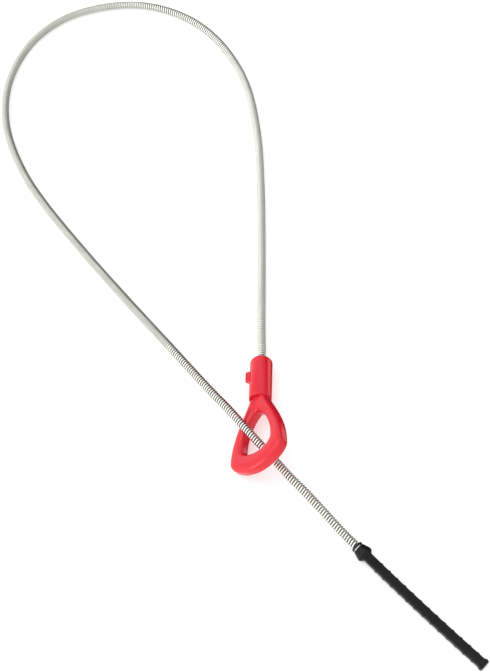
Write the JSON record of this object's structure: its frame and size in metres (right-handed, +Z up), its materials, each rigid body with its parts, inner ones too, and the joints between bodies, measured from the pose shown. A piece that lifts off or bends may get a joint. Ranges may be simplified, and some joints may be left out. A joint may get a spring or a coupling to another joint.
{
  "type": "flexible dipstick",
  "caption": "Flexible dipstick: a red moulded handle with a pull loop, a close-wound steel shaft laid in a wide loop, and a flat black gauge with nubs along its edges.",
  "frame": {"origin": "on the surface that the object lies on, under the middle of the handle, which is measured without the flexible shaft and the gauge", "axes": "+Y runs along the barrel towards its mouth, where the shaft leaves; +Z is up; +X is towards the raised side of the pull loop"},
  "size_m": [0.2668, 0.4222, 0.0272],
  "materials": {
    "handle_plastic": "glossy injection moulding",
    "coil_steel": "bright drawn wire",
    "cable_steel": "twisted wire rope",
    "ferrule_steel": "bright turned",
    "ring_rubber": "satin",
    "gauge_plastic": "satin injection moulding"
  },
  "bodies": {
    "handle": {"barrel": "handle_plastic", "pull_grip": "handle_plastic", "handle_ferrule": "ferrule_steel", "coil_loop": "coil_steel", "core_cable": "cable_steel"},
    "tail": {"coil_tail": "coil_steel"},
    "gauge": {"tip_ferrule": "ferrule_steel", "collar_ring": "ring_rubber", "gauge": "gauge_plastic"}
  },
  "joints": [
    {"name": "tail_sweep", "type": "hinge", "parent": "handle", "child": "tail", "pos_m": [0.022, -0.0415, 0.0081], "axis": [0, 0, 1], "range_deg": [-30, 30], "stiffness_Nm_per_rad": 0.13, "deforming": ["coil_loop", "core_cable"]},
    {"name": "gauge_lift", "type": "hinge", "parent": "tail", "child": "gauge", "pos_m": [0.0388, -0.0594, 0.0056], "axis": [-0.7212, -0.6928, 0], "range_deg": [0, 35], "stiffness_Nm_per_rad": 0.16, "deforming": ["coil_tail"]}
  ]
}
